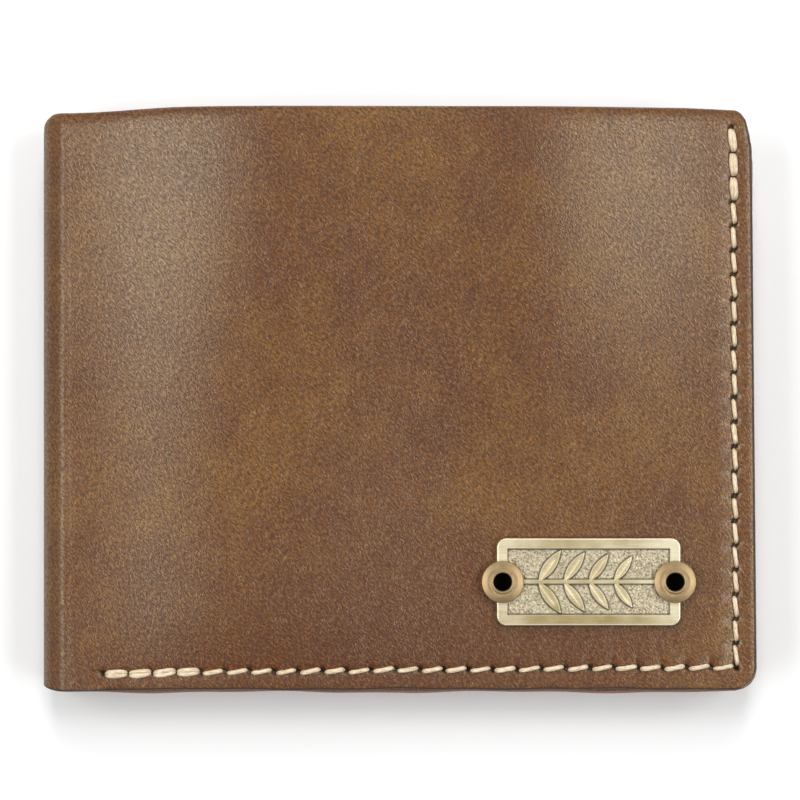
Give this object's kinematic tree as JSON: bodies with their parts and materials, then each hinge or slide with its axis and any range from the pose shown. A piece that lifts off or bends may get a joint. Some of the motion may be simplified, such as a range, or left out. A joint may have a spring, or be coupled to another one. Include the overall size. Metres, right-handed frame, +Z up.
{
  "type": "trifold wallet",
  "caption": "Leather trifold wallet whose leaves turn on a flexible spine, with card slots, a clear window, bill compartments and an eyeleted brass emblem plate.",
  "frame": {"origin": "middle of the back leaf's outer face, on the surface the closed wallet lies on", "axes": "+X from the spine to the free edges, +Y from the bottom seam to the open top, +Z up through the front leaf"},
  "size_m": [0.114, 0.093, 0.02],
  "materials": {
    "cover_leather": "pebbled, waxed, satin",
    "lining_leather": "smooth, satin",
    "pocket_leather": "smooth, satin",
    "waxed_thread": "waxed, twisted",
    "emblem_brass": "antiqued, brushed on the raised parts",
    "eyelet_brass": "antiqued, polished",
    "window_film": "clear"
  },
  "bodies": {
    "back_leaf": {"back_cover": "cover_leather", "back_bill_divider": "lining_leather", "back_card_slot_upper": "pocket_leather", "back_card_slot_middle": "pocket_leather", "back_card_slot_lower": "pocket_leather", "back_edge_thread": "waxed_thread", "back_slot_thread": "waxed_thread"},
    "spine": {"spine_cover": "cover_leather", "spine_bill_divider": "lining_leather"},
    "centre_leaf": {"centre_leaf_core": "lining_leather", "centre_window_frame": "pocket_leather", "centre_window_film": "window_film", "centre_card_slot_upper": "pocket_leather", "centre_card_slot_lower": "pocket_leather", "centre_edge_thread": "waxed_thread"},
    "front_leaf": {"front_cover": "cover_leather", "front_bill_divider": "lining_leather", "front_card_slot_upper": "pocket_leather", "front_card_slot_middle": "pocket_leather", "front_card_slot_lower": "pocket_leather", "front_edge_thread": "waxed_thread", "front_slot_thread": "waxed_thread", "emblem_plate": "emblem_brass", "emblem_eyelet_left": "eyelet_brass", "emblem_eyelet_right": "eyelet_brass", "emblem_washer_left": "eyelet_brass", "emblem_washer_right": "eyelet_brass"}
  },
  "joints": [
    {"name": "spine_lower_fold", "type": "hinge", "parent": "back_leaf", "child": "spine", "pos_m": [-0.05569, 0, 0.00131], "axis": [0, -1, 0], "range_deg": [0, 87]},
    {"name": "spine_upper_fold", "type": "hinge", "parent": "spine", "child": "front_leaf", "pos_m": [-0.05569, 0, 0.01369], "axis": [0, -1, 0], "range_deg": [0, 87]},
    {"name": "centre_leaf_turn", "type": "hinge", "parent": "spine", "child": "centre_leaf", "pos_m": [-0.0528, 0, 0.00765], "axis": [0, -1, 0], "range_deg": [-29, 0]}
  ],
  "couplings": [
    {"joint": "spine_upper_fold", "follows": "spine_lower_fold", "ratio": 1},
    {"joint": "centre_leaf_turn", "follows": "spine_lower_fold", "ratio": -0.3333}
  ]
}
